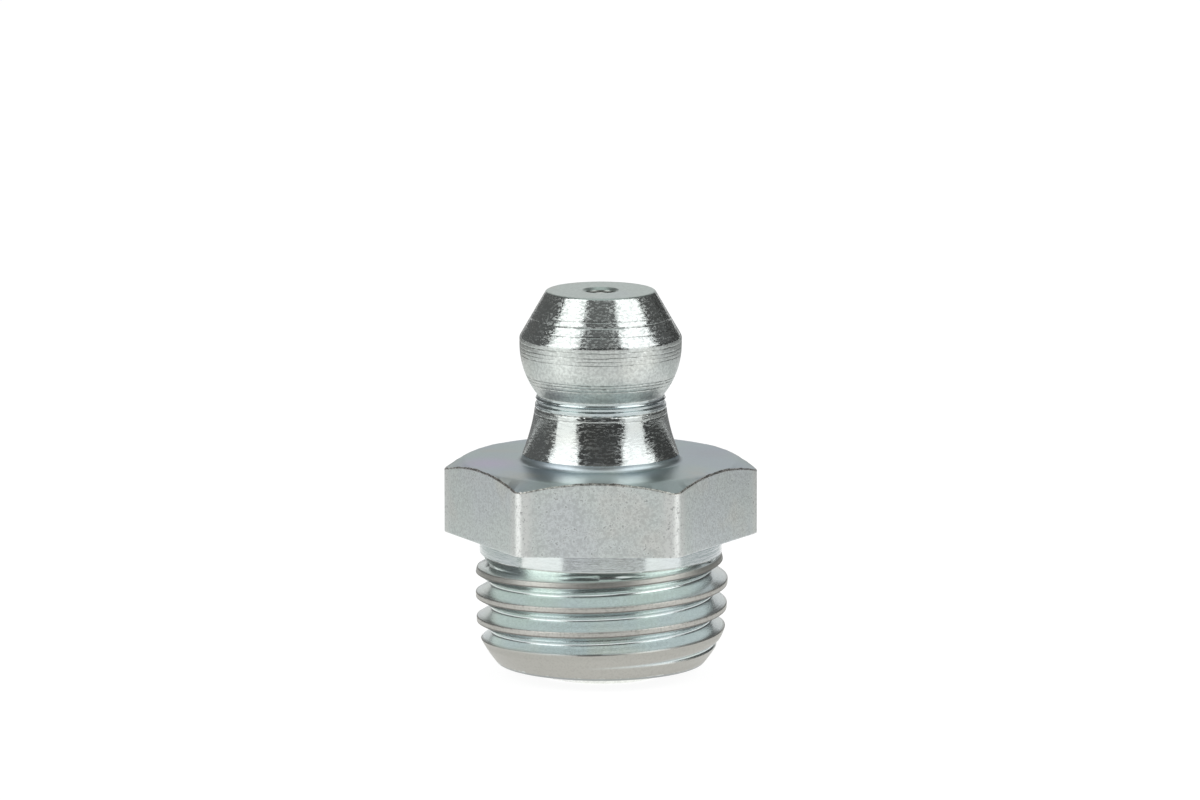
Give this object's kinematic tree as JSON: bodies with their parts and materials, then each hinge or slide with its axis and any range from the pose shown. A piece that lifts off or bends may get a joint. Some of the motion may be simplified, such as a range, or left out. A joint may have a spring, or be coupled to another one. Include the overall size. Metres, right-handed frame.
{
  "type": "grease nipple",
  "caption": "Straight screw-in grease nipple with a hexagon, a coned coupling head and a spring-loaded ball valve inside.",
  "frame": {"origin": "on the axis, in the seat plane under the hexagon", "axes": "+Z along the axis to the head, -Z into the tapped hole, -Y square to one flat of the hexagon"},
  "size_m": [0.0126, 0.011, 0.0155],
  "materials": {
    "plated_steel": "bright zinc plate with a faint blue tint, turning marks on the round faces, satin flats",
    "ball_steel": "ground and polished ball steel",
    "spring_steel": "drawn spring wire"
  },
  "bodies": {
    "fitting": {"nipple_body": "plated_steel", "valve_spring": "spring_steel"},
    "ball": {"valve_ball": "ball_steel"}
  },
  "joints": [
    {"name": "ball_lift", "type": "slide", "parent": "fitting", "child": "ball", "axis": [0, 0, -1], "range_m": [0, 0.002], "stiffness_N_per_m": 726, "springref_m": -0.0012, "deforming": ["valve_spring"]}
  ]
}
